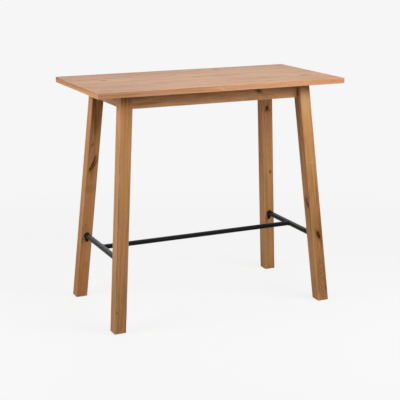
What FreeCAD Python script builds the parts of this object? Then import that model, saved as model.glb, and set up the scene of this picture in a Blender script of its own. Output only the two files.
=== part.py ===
import FreeCAD, Part
import math
import os

from FreeCAD import Placement, Rotation, Vector

# Bar table with splayed square legs, a framed top and a tubular footrest.
# Sizes are in millimetres. The origin is on the floor under the middle of the top,
# +X runs along the top, +Y points to the back and +Z is up.

# Tabletop
top_length = 1170.0
top_depth = 580.0
table_height = 1050.0
top_thickness = 24.0
edge_band_thickness = 2.0
top_arris = 1.2

# Legs: insets run from the edge of the top to the outer face of the leg
leg_section = 54.0
leg_top_inset_x = 132.0
leg_top_inset_y = 88.0
leg_foot_inset_x = 48.0
leg_foot_inset_y = 0.0
leg_arris = 2.0
foot_chamfer = 1.2

# Aprons: setbacks run from the outer face of the leg, just under the top
apron_height = 68.0
apron_thickness = 20.0
long_apron_setback = 23.0
side_apron_setback = 17.0
apron_arris = 1.5

# Dowels between the aprons and the legs
dowel_diameter = 8.0
dowel_length = 34.0
dowel_depth_in_leg = 14.0
dowel_edge_distance = 12.0
dowel_chamfer = 1.0
dowel_hole_spare = 1.0

# Corner blocks behind each leg
corner_block_thickness = 24.0
corner_block_height = 60.0
corner_block_setdown = 5.0
corner_block_leg_gap = 4.0

# Hanger bolts that pull each leg to its corner block, with washer and nut
bolt_diameter = 8.0
bolt_length = 85.0
bolt_depth_in_leg = 34.0
bolt_spacing = 24.0
bolt_tip = 3.0
block_bolt_clearance = 0.5
washer_diameter = 20.0
washer_thickness = 1.6
nut_across_flats = 13.0
nut_height = 6.5
nut_sides = 6

# Wood screws: the short one holds the top brackets, the long one the corner blocks
screw_diameter = 4.0
screw_head_diameter = 8.0
screw_head_height = 2.6
screw_tip = 3.0
short_screw_length = 16.0
long_screw_length = 28.0
block_screw_spacing = 30.0
block_screw_seat = 12.0

# Angle brackets that hold the top on the aprons: the shares run from the middle of a long
# apron to where its corner blocks begin
bracket_leg = 30.0
bracket_width = 18.0
bracket_thickness = 2.0
bracket_corner_radius = 4.0
bracket_hole_inset = 10.0
long_apron_bracket_shares = (-0.8, 0.0, 0.8)

# Footrest: a long tube coped onto two side tubes, each with a plate at both ends
footrest_height = 311.0
side_tube_diameter = 25.0
long_tube_diameter = 22.0
tube_wall = 1.5
plate_thickness = 3.0
plate_rim = 0.5
plate_tongue_drop = 25.0
plate_tongue_radius = 7.0
footrest_screw_diameter = 5.0
footrest_screw_head_diameter = 9.0
footrest_screw_head_height = 3.0
footrest_screw_length = 38.0

# Glides under the feet
glide_diameter = 28.0
glide_height = 3.0
glide_chamfer = 0.8
glide_pin_diameter = 5.0
glide_pin_length = 14.0

# Clearances around each fitted piece, measured on the radius
fit_clearance = 0.1
screw_hole_clearance = 0.2
weld_clearance = 0.05

# Levels and planes that follow from the sizes above
underside = table_height - top_thickness
apron_bottom = underside - apron_height
leg_top_x = top_length / 2 - leg_top_inset_x
leg_top_y = top_depth / 2 - leg_top_inset_y
splay_x = (leg_top_inset_x - leg_foot_inset_x) / underside
splay_y = (leg_top_inset_y - leg_foot_inset_y) / underside
long_apron_outer = leg_top_y - long_apron_setback
long_apron_inner = long_apron_outer - apron_thickness
side_apron_outer = leg_top_x - side_apron_setback
side_apron_inner = side_apron_outer - apron_thickness
diagonal = Vector(1, 1, 0).normalize()
ends = {"left": -1, "right": 1}
sides = {"front": -1, "back": 1}


def leg_outer_x(z):
    return leg_top_x + splay_x * (underside - z)


def leg_outer_y(z):
    return leg_top_y + splay_y * (underside - z)


def leg_inner_x(z):
    return leg_outer_x(z) - leg_section


def leg_inner_y(z):
    return leg_outer_y(z) - leg_section


# Level box between any two opposite corners
def box(corner, opposite):
    spans = list(zip(corner, opposite))
    low = Vector(*[min(span) for span in spans])
    size = Vector(*[max(span) for span in spans]) - low
    return Part.makeBox(size.x, size.y, size.z, low)


def rod(diameter, start, direction, length):
    return Part.makeCylinder(diameter / 2, length, start, direction)


# Solid from a closed outline, swept straight along one vector
def prism(points, sweep):
    return Part.Face(Part.makePolygon(points + points[:1])).extrude(sweep)


# Solid of revolution from (radius, height) points, set at a point with its axis along a direction
def turned(profile, start, direction):
    points = [Vector(radius, 0, height) for radius, height in profile]
    solid = Part.Face(Part.makePolygon(points + points[:1])).revolve(Vector(), Vector(0, 0, 1), 360)
    solid.Placement = Placement(start, Rotation(Vector(0, 0, 1), direction))
    return solid


# Everything in one corner is drawn at the back right and mirrored to the other corners
def to_corner(shape, end, side):
    if end < 0:
        shape = shape.mirror(Vector(), Vector(1, 0, 0))
    if side < 0:
        shape = shape.mirror(Vector(), Vector(0, 1, 0))
    return shape


def to_all_corners(shapes):
    corners = [(end, side) for end in ends.values() for side in sides.values()]
    return [to_corner(shape, end, side) for end, side in corners for shape in shapes]


# Top blank with every arris eased, cut into the panel and its four edge bands
def make_top():
    half = Vector(top_length / 2, top_depth / 2, 0)
    blank = box(-half + Vector(0, 0, underside), half + Vector(0, 0, table_height))
    blank = blank.makeFillet(top_arris, blank.Edges)
    inner = half - Vector(edge_band_thickness, edge_band_thickness, 0)
    core = box(-inner + Vector(0, 0, underside), inner + Vector(0, 0, table_height))
    pieces = {"tabletop_panel": blank.common(core).cut(screw_holes(top_screws()))}
    for name, side in sides.items():
        slab = box(Vector(-half.x, side * inner.y, underside), Vector(half.x, side * half.y, table_height))
        pieces["edge_band_" + name] = blank.common(slab)
    for name, end in ends.items():
        slab = box(Vector(end * inner.x, -inner.y, underside), Vector(end * half.x, inner.y, table_height))
        pieces["edge_band_" + name] = blank.common(slab)
    return pieces


# Level section through the leg: a square with rounded corners around the leg's own axis
def leg_outline(z, width):
    half = width / 2
    straight = half - leg_arris
    bulge = straight + leg_arris / math.sqrt(2)
    corner = [Vector(half, straight, 0), Vector(bulge, bulge, 0), Vector(straight, half, 0)]
    quarter = [Part.makeLine(Vector(half, -straight, 0), corner[0]), Part.Arc(*corner).toShape()]
    turned_quarters = []
    for quarter_turn in range(4):
        for edge in quarter:
            turned_quarters.append(edge.rotated(Vector(), Vector(0, 0, 1), quarter_turn * 90))
    outline = Part.Wire(turned_quarters)
    outline.translate(Vector(leg_outer_x(z) - leg_section / 2, leg_outer_y(z) - leg_section / 2, z))
    return outline


# Square leg that leans outwards both ways, cut level at the foot and under the top
def leg_blank():
    foot = leg_outline(glide_height, leg_section - foot_chamfer * 2)
    above_foot = leg_outline(glide_height + foot_chamfer, leg_section)
    head = leg_outline(underside, leg_section)
    return Part.makeLoft([foot, above_foot, head], True, True)


def make_leg():
    holes = dowel_holes() + bolt_holes(fit_clearance) + screw_holes([footrest_screw()]) + [glide_hole()]
    return leg_blank().cut(holes)


# Long apron between the inner faces of two legs, its ends cut to the lean of the legs
def long_apron_blank():
    outline = [
        Vector(-leg_inner_x(apron_bottom), long_apron_inner, apron_bottom),
        Vector(leg_inner_x(apron_bottom), long_apron_inner, apron_bottom),
        Vector(leg_inner_x(underside), long_apron_inner, underside),
        Vector(-leg_inner_x(underside), long_apron_inner, underside),
    ]
    return ease_bottom(prism(outline, Vector(0, apron_thickness, 0)))


def side_apron_blank():
    outline = [
        Vector(side_apron_inner, -leg_inner_y(apron_bottom), apron_bottom),
        Vector(side_apron_inner, leg_inner_y(apron_bottom), apron_bottom),
        Vector(side_apron_inner, leg_inner_y(underside), underside),
        Vector(side_apron_inner, -leg_inner_y(underside), underside),
    ]
    return ease_bottom(prism(outline, Vector(apron_thickness, 0, 0)))


# Rounds the two long lower edges of an apron
def ease_bottom(apron):
    lower = min(apron.Faces, key=lambda face: face.CenterOfMass.z)
    return apron.makeFillet(apron_arris, [edge for edge in lower.Edges if edge.Length > apron_thickness * 2])


# Both ends or sides of one symmetrical apron take the same holes
def drill_both_ways(apron, tools, normal):
    return apron.cut(tools + [tool.mirror(Vector(), normal) for tool in tools])


# Dowel axes as (start inside the apron, way into the leg)
def dowel_axes():
    depth_in_apron = dowel_length - dowel_depth_in_leg
    axes = []
    for z in (apron_bottom + dowel_edge_distance, underside - dowel_edge_distance):
        along_x = Vector(leg_inner_x(z) - depth_in_apron, long_apron_inner + apron_thickness / 2, z)
        along_y = Vector(side_apron_inner + apron_thickness / 2, leg_inner_y(z) - depth_in_apron, z)
        axes += [(along_x, Vector(1, 0, 0)), (along_y, Vector(0, 1, 0))]
    return axes


def make_dowel(start, direction):
    radius = dowel_diameter / 2
    profile = [
        (0, 0),
        (radius - dowel_chamfer, 0),
        (radius, dowel_chamfer),
        (radius, dowel_length - dowel_chamfer),
        (radius - dowel_chamfer, dowel_length),
        (0, dowel_length),
    ]
    return turned(profile, start, direction)


def dowel_holes():
    diameter = dowel_diameter + fit_clearance * 2
    length = dowel_length + dowel_hole_spare * 2
    return [rod(diameter, start - way * dowel_hole_spare, way, length) for start, way in dowel_axes()]


# Corner block across the corner of the frame, clear of the inner arris of the leg
def block_planes():
    face = leg_inner_x(underside) + leg_inner_y(underside) - corner_block_leg_gap * math.sqrt(2)
    return face, face - corner_block_thickness * math.sqrt(2)


def make_corner_block():
    near_leg, near_room = block_planes()
    top = underside - corner_block_setdown
    outline = [
        Vector(near_leg - long_apron_inner, long_apron_inner, top),
        Vector(side_apron_inner, near_leg - side_apron_inner, top),
        Vector(side_apron_inner, near_room - side_apron_inner, top),
        Vector(near_room - long_apron_inner, long_apron_inner, top),
    ]
    block = prism(outline, Vector(0, 0, -corner_block_height))
    screws = block_screws()
    return block.cut(bolt_holes(block_bolt_clearance) + screw_holes(screws) + screw_pockets(screws))


# Bolt axes as the points where they leave the leg's inner arris
def bolt_entries():
    middle = underside - corner_block_setdown - corner_block_height / 2
    levels = (middle - bolt_spacing / 2, middle + bolt_spacing / 2)
    return [Vector(leg_inner_x(z), leg_inner_y(z), z) for z in levels]


def bolt_holes(clearance):
    diameter = bolt_diameter + clearance * 2
    starts = [entry + diagonal * bolt_depth_in_leg for entry in bolt_entries()]
    return [rod(diameter, start, -diagonal, bolt_length) for start in starts]


def make_hanger_bolt(entry):
    radius = bolt_diameter / 2
    profile = [
        (0, 0),
        (radius, bolt_tip),
        (radius, bolt_length - bolt_tip / 2),
        (radius - bolt_tip / 2, bolt_length),
        (0, bolt_length),
    ]
    return turned(profile, entry + diagonal * bolt_depth_in_leg, -diagonal)


# Point on a bolt axis where the corner block ends towards the middle of the table
def block_exit(entry):
    near_room = block_planes()[1]
    distance = (entry.x + entry.y - near_room) / math.sqrt(2)
    return entry - diagonal * distance


def make_washer(entry):
    disc = rod(washer_diameter, block_exit(entry), -diagonal, washer_thickness)
    return disc.cut(rod(bolt_diameter + fit_clearance * 2, block_exit(entry), -diagonal, washer_thickness))


def make_nut(entry):
    circumradius = nut_across_flats / 2 / math.cos(math.pi / nut_sides)
    turns = [math.tau * corner / nut_sides for corner in range(nut_sides)]
    outline = [Vector(math.cos(turn), math.sin(turn), 0) * circumradius for turn in turns]
    hexagon = prism(outline, Vector(0, 0, nut_height))
    start = block_exit(entry) - diagonal * washer_thickness
    hexagon.Placement = Placement(start, Rotation(Vector(0, 0, 1), -diagonal))
    return hexagon.cut(rod(bolt_diameter + fit_clearance * 2, start, -diagonal, nut_height))


# A screw is its seat (under the head), the way it points, its length and its diameters
def wood_screw(seat, way, length):
    return {
        "seat": seat,
        "way": way,
        "length": length,
        "diameter": screw_diameter,
        "head": screw_head_diameter,
        "head_height": screw_head_height,
    }


def make_screw(screw):
    radius = screw["diameter"] / 2
    crown = screw["head_height"] / 2
    profile = [
        (0, -screw["head_height"]),
        (screw["head"] / 2 - crown, -screw["head_height"]),
        (screw["head"] / 2, -crown),
        (screw["head"] / 2, 0),
        (radius, 0),
        (radius, screw["length"] - screw_tip),
        (0, screw["length"]),
    ]
    return turned(profile, screw["seat"], screw["way"])


def screw_holes(screws):
    play = fit_clearance * 2
    return [rod(screw["diameter"] + play, screw["seat"], screw["way"], screw["length"]) for screw in screws]


# Wide pocket above each screw head, so that it sits square in a slanted face
def screw_pockets(screws):
    play = fit_clearance * 2
    reach = corner_block_thickness * 2
    return [rod(screw["head"] + play, screw["seat"], -screw["way"], reach) for screw in screws]


# Two screws from the corner block into the long apron and two into the side apron
def block_screws():
    near_leg, near_room = block_planes()
    middle = underside - corner_block_setdown - corner_block_height / 2
    foot_x = (near_leg + near_room) / 2 - long_apron_inner
    foot_y = (near_leg + near_room) / 2 - side_apron_inner
    screws = []
    for z in (middle - block_screw_spacing / 2, middle + block_screw_spacing / 2):
        seat_y = Vector(foot_x, long_apron_inner - block_screw_seat, z)
        seat_x = Vector(side_apron_inner - block_screw_seat, foot_y, z)
        screws.append(wood_screw(seat_y, Vector(0, 1, 0), long_screw_length))
        screws.append(wood_screw(seat_x, Vector(1, 0, 0), long_screw_length))
    return screws


# Places of the top brackets as (corner on the apron under the top, direction into the room)
def bracket_places():
    clear_half = block_planes()[1] - long_apron_inner
    places = []
    for side in sides.values():
        for share in long_apron_bracket_shares:
            corner = Vector(share * clear_half, side * long_apron_inner, underside)
            places.append((corner, Vector(0, -side, 0)))
    for end in ends.values():
        places.append((Vector(end * side_apron_inner, 0, underside), Vector(-end, 0, 0)))
    return places


# Angle bracket drawn with its upright leg in the XZ plane and its level leg along +Y
def make_bracket(corner, inward):
    half = bracket_width / 2
    block = box(Vector(-half, 0, -bracket_leg), Vector(half, bracket_leg, 0))
    room = box(Vector(-half, bracket_thickness, -bracket_leg), Vector(half, bracket_leg, -bracket_thickness))
    angle = block.cut(room)
    tips = [edge for edge in angle.Edges if abs(edge.Length - bracket_thickness) < fit_clearance]
    angle = angle.makeFillet(bracket_corner_radius, tips)
    reach = bracket_leg - bracket_hole_inset
    hole = screw_diameter + screw_hole_clearance * 2
    angle = angle.cut([rod(hole, Vector(0, 0, -reach), Vector(0, 1, 0), bracket_thickness),
                       rod(hole, Vector(0, reach, 0), Vector(0, 0, -1), bracket_thickness)])
    angle.Placement = Placement(corner, Rotation(Vector(0, 1, 0), inward))
    return angle


def top_screws():
    reach = bracket_leg - bracket_hole_inset
    up = Vector(0, 0, 1)
    return [wood_screw(corner + inward * reach - up * bracket_thickness, up, short_screw_length)
            for corner, inward in bracket_places()]


def apron_screws():
    reach = bracket_leg - bracket_hole_inset
    down = Vector(0, 0, -1)
    return [wood_screw(corner + down * reach + inward * bracket_thickness, -inward, short_screw_length)
            for corner, inward in bracket_places()]


# Level line of the footrest: middle of the leg in X, and the leg's inner face in Y
footrest_x = leg_outer_x(footrest_height) - leg_section / 2
lean_y = math.atan(splay_y)


def lean_with_leg(shape):
    shape.rotate(Vector(), Vector(1, 0, 0), math.degrees(lean_y))
    shape.translate(Vector(footrest_x, leg_inner_y(footrest_height), footrest_height))
    return shape


# Side tube with both ends cut to the lean of the plates that close it
def make_side_tube():
    half = leg_inner_y(footrest_height) - plate_thickness / math.cos(lean_y)
    margin = side_tube_diameter
    slant = splay_y * margin
    outline = [
        Vector(footrest_x - margin, -half - slant, footrest_height - margin),
        Vector(footrest_x - margin, half + slant, footrest_height - margin),
        Vector(footrest_x - margin, half - slant, footrest_height + margin),
        Vector(footrest_x - margin, -half + slant, footrest_height + margin),
    ]
    start = Vector(footrest_x, -half - margin, footrest_height)
    length = (half + margin) * 2
    outside = rod(side_tube_diameter, start, Vector(0, 1, 0), length)
    inside = rod(side_tube_diameter - tube_wall * 2, start, Vector(0, 1, 0), length)
    return outside.cut(inside).common(prism(outline, Vector(margin * 2, 0, 0)))


# Long tube whose ends are coped to saddle on the side tubes
def make_long_tube():
    start = Vector(-footrest_x, 0, footrest_height)
    outside = rod(long_tube_diameter, start, Vector(1, 0, 0), footrest_x * 2)
    inside = rod(long_tube_diameter - tube_wall * 2, start, Vector(1, 0, 0), footrest_x * 2)
    tools = [inside]
    for end in ends.values():
        saddle_start = Vector(end * footrest_x, -side_tube_diameter, footrest_height)
        saddle_diameter = side_tube_diameter + weld_clearance * 2
        tools.append(rod(saddle_diameter, saddle_start, Vector(0, 1, 0), side_tube_diameter * 2))
    return outside.cut(tools)


# End plate: a round head on the tube that tapers to a tongue with one screw
def make_end_plate():
    head = side_tube_diameter / 2 + plate_rim
    tongue = plate_tongue_radius
    tilt = math.asin((head - tongue) / plate_tongue_drop)
    side = Vector(math.cos(tilt), 0, -math.sin(tilt))
    foot = Vector(0, 0, -plate_tongue_drop)
    mirrored = Vector(-side.x, 0, side.z)
    outline = Part.Wire([
        Part.Arc(mirrored * head, Vector(0, 0, head), side * head).toShape(),
        Part.makeLine(side * head, foot + side * tongue),
        Part.Arc(foot + side * tongue, foot - Vector(0, 0, tongue), foot + mirrored * tongue).toShape(),
        Part.makeLine(foot + mirrored * tongue, mirrored * head),
    ])
    plate = Part.Face(outline).extrude(Vector(0, -plate_thickness, 0))
    hole = rod(footrest_screw_diameter + screw_hole_clearance * 2, foot, Vector(0, -1, 0), plate_thickness)
    return lean_with_leg(plate.cut(hole))


def footrest_screw():
    seat = Vector(0, -plate_thickness, -plate_tongue_drop)
    turn = Rotation(Vector(1, 0, 0), math.degrees(lean_y))
    place = Vector(footrest_x, leg_inner_y(footrest_height), footrest_height)
    screw = wood_screw(place + turn.multVec(seat), turn.multVec(Vector(0, 1, 0)), footrest_screw_length)
    screw["diameter"] = footrest_screw_diameter
    screw["head"] = footrest_screw_head_diameter
    screw["head_height"] = footrest_screw_head_height
    return screw


# Glide under a foot, with a pin that is pressed into the leg
def glide_place():
    middle = leg_section / 2
    return Vector(leg_outer_x(glide_height) - middle, leg_outer_y(glide_height) - middle, 0)


def make_glide():
    radius = glide_diameter / 2
    pin = glide_pin_diameter / 2
    top = glide_height + glide_pin_length
    profile = [
        (0, 0),
        (radius - glide_chamfer, 0),
        (radius, glide_chamfer),
        (radius, glide_height),
        (pin, glide_height),
        (pin, top - pin),
        (0, top),
    ]
    return turned(profile, glide_place(), Vector(0, 0, 1))


def glide_hole():
    diameter = glide_pin_diameter + fit_clearance * 2
    return rod(diameter, glide_place(), Vector(0, 0, 1), glide_height + glide_pin_length)


def main():
    parts = make_top()
    leg = make_leg()
    block = make_corner_block()
    plate = make_end_plate()
    glide = make_glide()
    for side_name, side in sides.items():
        for end_name, end in ends.items():
            corner = side_name + "_" + end_name
            parts["leg_" + corner] = to_corner(leg, end, side)
            parts["corner_block_" + corner] = to_corner(block, end, side)
            parts["footrest_plate_" + corner] = to_corner(plate, end, side)
            parts["foot_glide_" + corner] = to_corner(glide, end, side)

    corner_tools = dowel_holes() + bolt_holes(fit_clearance) + screw_holes(block_screws())
    long_apron = drill_both_ways(long_apron_blank(), corner_tools, Vector(1, 0, 0))
    side_apron = drill_both_ways(side_apron_blank(), corner_tools, Vector(0, 1, 0))
    bracket_holes = screw_holes(apron_screws())
    for name, side in sides.items():
        parts["apron_" + name] = to_corner(long_apron, 1, side).cut(bracket_holes)
    for name, end in ends.items():
        parts["apron_" + name] = to_corner(side_apron, end, 1).cut(bracket_holes)

    side_tube = make_side_tube()
    for name, end in ends.items():
        parts["footrest_side_tube_" + name] = to_corner(side_tube, end, 1)
    parts["footrest_long_tube"] = make_long_tube()

    groups = {
        "apron_dowels": to_all_corners([make_dowel(*axis) for axis in dowel_axes()]),
        "hanger_bolts": to_all_corners([make_hanger_bolt(entry) for entry in bolt_entries()]),
        "bolt_washers": to_all_corners([make_washer(entry) for entry in bolt_entries()]),
        "bolt_nuts": to_all_corners([make_nut(entry) for entry in bolt_entries()]),
        "corner_block_screws": to_all_corners([make_screw(screw) for screw in block_screws()]),
        "footrest_screws": to_all_corners([make_screw(footrest_screw())]),
        "top_brackets": [make_bracket(*place) for place in bracket_places()],
        "top_bracket_screws": [make_screw(screw) for screw in top_screws() + apron_screws()],
    }
    for name, solids in groups.items():
        parts[name] = Part.makeCompound(solids)

    os.makedirs("parts", exist_ok=True)
    for name, shape in parts.items():
        shape.exportStep("parts/" + name + ".step")
        print(name, len(shape.Solids), "solids", round(shape.Volume), "mm3", shape.isValid())
    leans = [math.degrees(math.atan(splay)) for splay in (splay_x, splay_y)]
    print("lean of the legs along and across in degrees", [round(lean, 2) for lean in leans])


main()
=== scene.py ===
import math

import bpy
import numpy as np
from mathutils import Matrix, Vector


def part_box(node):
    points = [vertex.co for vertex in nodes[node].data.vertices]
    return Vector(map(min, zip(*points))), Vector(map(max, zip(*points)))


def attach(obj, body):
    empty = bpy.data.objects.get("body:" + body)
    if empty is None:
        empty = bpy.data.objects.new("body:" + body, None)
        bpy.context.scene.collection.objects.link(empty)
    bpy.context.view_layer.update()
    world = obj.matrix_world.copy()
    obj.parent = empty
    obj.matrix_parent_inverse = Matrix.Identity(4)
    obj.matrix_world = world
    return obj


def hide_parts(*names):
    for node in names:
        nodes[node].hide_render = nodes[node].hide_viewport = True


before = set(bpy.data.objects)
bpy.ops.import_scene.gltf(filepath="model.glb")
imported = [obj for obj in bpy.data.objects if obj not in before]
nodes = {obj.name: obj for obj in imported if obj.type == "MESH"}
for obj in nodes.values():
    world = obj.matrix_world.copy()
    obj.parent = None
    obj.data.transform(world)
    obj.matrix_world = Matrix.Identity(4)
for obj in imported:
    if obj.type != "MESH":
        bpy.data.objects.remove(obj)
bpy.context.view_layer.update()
print("frame loaded with", len(nodes), "nodes")


# Shader maths: a wire is an output socket, and sums, products and quotients of wires add nodes
class Wire:
    def __init__(self, finish, socket):
        self.finish = finish
        self.socket = socket

    def output(self, name):
        return Wire(self.finish, self.socket.node.outputs[name])

    # a Math node, or a Vector Math node where a value is a vector, which spreads the numbers beside it
    def combine(self, operation, *values):
        kind = "ShaderNodeMath"
        if any(isinstance(value, tuple) or isVector(value) for value in values):
            kind = "ShaderNodeVectorMath"
            values = [(value,) * 3 if isinstance(value, (int, float)) else value for value in values]
        return self.finish.node(kind, {"operation": operation}, dict(enumerate(values)))

    def maths(self, operation, *others):
        return self.combine(operation, self, *others)

    def __add__(self, other):
        return self.maths("ADD", other)

    def __sub__(self, other):
        return self.maths("SUBTRACT", other)

    def __rsub__(self, other):
        return self.combine("SUBTRACT", other, self)

    def __mul__(self, other):
        return self.maths("MULTIPLY", other)

    def __truediv__(self, other):
        return self.maths("DIVIDE", other)

    def __rtruediv__(self, other):
        return self.combine("DIVIDE", other, self)

    __radd__ = __add__
    __rmul__ = __mul__

    def length(self):
        return self.maths("LENGTH").output("Value")

    def parts(self):
        split = self.finish.node("ShaderNodeSeparateXYZ", {}, {0: self})
        return [split.output(name) for name in "XYZ"]

    # a mask that never falls below this share
    def atLeast(self, least):
        return self * (1.0 - least) + least

    # 0 below low, 1 above high and a smooth step between them; low above high falls instead of rising
    def step(self, low, high):
        first, last = (0.0, 1.0) if low < high else (1.0, 0.0)
        inputs = {"Value": self, "From Min": min(low, high), "From Max": max(low, high),
                  "To Min": first, "To Max": last}
        return self.finish.node("ShaderNodeMapRange", {"interpolation_type": "SMOOTHSTEP"}, inputs)


def isVector(value):
    return isinstance(value, Wire) and value.socket.type in ("VECTOR", "RGBA")


# The node tree of a material or of the world
class Finish:
    def __init__(self, owner):
        self.owner = owner
        owner.use_nodes = True
        self.tree = owner.node_tree
        self.tree.nodes.clear()

    # adds one node: its type, its settings, and values or wires for its sockets by name or number
    def node(self, kind, settings, inputs):
        made = self.tree.nodes.new(kind)
        for key, value in settings.items():
            setattr(made, key, value)
        for key, value in inputs.items():
            named = [socket for socket in made.inputs if socket.enabled and socket.name == key]
            socket = named[0] if named else made.inputs[key]
            if isinstance(value, Wire):
                self.tree.links.new(value.socket, socket)
            else:
                socket.default_value = value + (1.0,) if socket.type == "RGBA" else value
        return Wire(self, next((socket for socket in made.outputs if socket.enabled), None))

    def place(self):
        return self.node("ShaderNodeTexCoord", {}, {}).output("Object")

    def vector(self, x, y, z):
        return self.node("ShaderNodeCombineXYZ", {}, {0: x, 1: y, 2: z})

    # noise of mean one half; scale is in waves per metre, one for each axis
    def noise(self, place, scale, detail, roughness=0.5):
        inputs = {"Vector": place * scale, "Scale": 1.0, "Detail": detail, "Roughness": roughness}
        return self.node("ShaderNodeTexNoise", {}, inputs)

    # three independent noises of mean zero
    def noiseVector(self, place, scale, detail):
        return self.noise(place, scale, detail).output("Color") - 0.5

    # one random number for each whole step of the value
    def dice(self, value):
        return self.node("ShaderNodeTexWhiteNoise", {"noise_dimensions": "1D"}, {"W": value.maths("FLOOR")})

    def turned(self, place, middle, turn):
        return self.node("ShaderNodeMapping", {}, {"Vector": place - middle, "Rotation": turn})

    def mix(self, share, first, second, blend="MIX"):
        inputs = {"Factor": share, "A": first, "B": second}
        return self.node("ShaderNodeMix", {"data_type": "RGBA", "blend_type": blend}, inputs)

    # 1 for the rays that show the backdrop: the camera's, mirrored ones and those through glass
    def shown(self):
        rays = self.node("ShaderNodeLightPath", {}, {})
        seen = rays.output("Is Camera Ray").maths("MAXIMUM", rays.output("Is Glossy Ray"))
        return seen.maths("MAXIMUM", rays.output("Is Transmission Ray"))

    # relief is a height, its depth in metres and a strength; more has values for further sockets
    def surface(self, colour, rough, relief, more):
        relief = dict(zip(("Height", "Distance", "Strength"), relief))
        inputs = {"Base Color": colour, "Roughness": rough, "Normal": self.node("ShaderNodeBump", {}, relief)}
        shader = self.node("ShaderNodeBsdfPrincipled", {}, {**inputs, **more})
        self.node("ShaderNodeOutputMaterial", {}, {"Surface": shader})
        return self.owner


# Oak, worked out as solid wood in the grain's own directions (along, across, through), with rings round
# a pith, so that faces, arrises and end grain agree
oak = {
    "pale": (0.62, 0.312, 0.126), "dark": (0.318, 0.128, 0.04), "rosy": (0.58, 0.245, 0.11),
    "straw": (0.54, 0.285, 0.104), "pore": (0.15, 0.06, 0.019), "fleck": (0.66, 0.365, 0.16),
    # the first colour on the next line, for the arrises, is partly wear and partly a painted highlight where
    # they catch the light
    "wearAndHighlight": (0.72, 0.4, 0.205), "deep": (0.11, 0.045, 0.017), "knotHeart": (0.022, 0.006, 0.001),
    "knotWood": (0.2, 0.066, 0.01),
    "depth": 0.36,  # mean mix of pale and dark
    "ringPitch": 0.0027, "wander": 0.02,  # rings, and how far they stray from round
    "streakWaves": 80.0, "streakRuns": 1.7,  # streaks in a metre across the grain and along it
    # how much each of these darkens the wood
    "ringShare": 0.26, "yearShare": 0.34, "streakShare": 1.7, "broadShare": 0.9, "fibreShare": 0.85,
    "leafShare": 0.0,
    # how much of each of these tones it takes
    "poreShare": 0.55, "fleckShare": 0.3, "rosyShare": 0.5, "strawShare": 0.45, "wearAndHighlightShare": 0.45,
    "roughness": 0.58, "gloss": 0.25, "poreDepth": 0.00012,
}
# What all woods share. A noise has its waves in a metre along, across and through the grain, its detail
# and its roughness. A step has the values where a mask is 0 and where it is 1.
timber = {
    "seedStep": (3.7, 1.3, 2.1),  # metres between the places that two seeds sample
    "leafStep": (1.37, 0.71, 0.39),  # and two leaves
    "leafSkew": 0.13,  # how much deeper in the log each leaf lies, against its width
    "fray": ((90.0, 160.0, 160.0), 2.0),  # ragged rims of knots and patches
    "frayReach": (0.007, 0.004, 0.004),
    "stray": ((2.6, 9.0, 9.0), 2.0),  # rings that leave the round
    "years": ((95.0, 1.0, 1.0), 1.0),  # wide and narrow years
    "yearReach": 3.0, "yearSeed": 17.0, "earlyStep": (0.62, 0.05),
    "streak": (4.0, 0.62),  # detail and roughness alone
    "broad": ((3.2, 14.0, 14.0), 2.0), "broadAway": 5.0, "hue": ((1.6, 34.0, 34.0), 3.0, 0.6),
    "hueAway": 3.0, "rosyStep": (0.5, 0.68), "strawStep": (0.5, 0.34),
    "fibre": ((30.0, 900.0, 900.0), 2.0), "fibreRise": 0.35, "pores": ((55.0, 1700.0, 1700.0), 1.0),
    "poresAway": 2.0, "poreStep": (0.55, 0.7),
    "latePores": 0.2,  # pores in the late wood, against the early wood's
    "poreRough": 0.15, "streakRough": 0.12,
    "rays": (55.0, 110.0, 55.0),  # along, in a radian round the pith, and outwards
    "rayStep": (0.63, 0.72), "patchStep": (1.0, 0.2), "patchStreaks": 2.4,
    "figure": ((25.0, 60.0, 60.0), 2.0), "figureStep": (0.6, 0.0), "figureRim": (1.0, 0.5),
    "deepGain": 0.8, "handled": ((14.0, 60.0, 60.0), 2.0), "handledStep": (0.35, 0.6),
    "handledLeast": 0.3, "arrisStep": (0.0022, 0.0004), "arrisRough": 0.1, "bump": 0.6,
}
# Knots: distances are in units of a knot's own half sizes
knotLook = {
    "coreStep": (1.12, 0.88), "haloStep": (2.6, 0.9), "haloShare": 0.6,
    "swell": 0.0085,  # how far the rings bend round a knot
    "spread": 0.4, "rings": 15.0, "ringDepth": 0.18, "ringMean": 0.7,
    "split": ((60.0, 420.0, 420.0), 2.0), "lobe": ((70.0, 130.0, 130.0), 1.0), "splitStep": (0.4, 0.56),
    "splitShare": 0.4, "splitFall": 1.6, "heartStep": (0.95, 0.35), "heartLeast": 0.4,
    "rimStep": (0.7, 0.98), "rimShare": 0.5, "gain": 2.0, "rough": 0.1,
}


# distance from a spot in units of its own half sizes, turned about its through axis
def awayFrom(finish, place, middle, reach, tilt):
    return (finish.turned(place, middle, (0.0, 0.0, tilt)) / reach).length()


# distance to the nearest arris: the second smallest of the distances to the piece's outer planes
def arrisDistance(grain, low, high):
    x, y, z = (grain - low).maths("MINIMUM", high - grain).parts()
    return x.maths("MINIMUM", y).maths("MAXIMUM", x.maths("MAXIMUM", y).maths("MINIMUM", z))


# Leaves side by side, each cut from another part of the log: the leaf's number, the place that noise is
# sampled at, and the place among the rings
def leafPlaces(finish, grain, piece):
    leaf = 0.0
    sample = grain + tuple(piece["seed"] * step for step in timber["seedStep"])
    ringPlace = grain
    if "joints" in piece:
        for joint in piece["joints"]:
            leaf = grain.parts()[1].maths("GREATER_THAN", joint) + leaf
        sample = sample + finish.vector(*[leaf * step for step in timber["leafStep"]])
        across = leaf * piece["leafWidth"]
        ringPlace = grain - finish.vector(0.0, across, across * timber["leafSkew"])
    return leaf, sample, ringPlace


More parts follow.
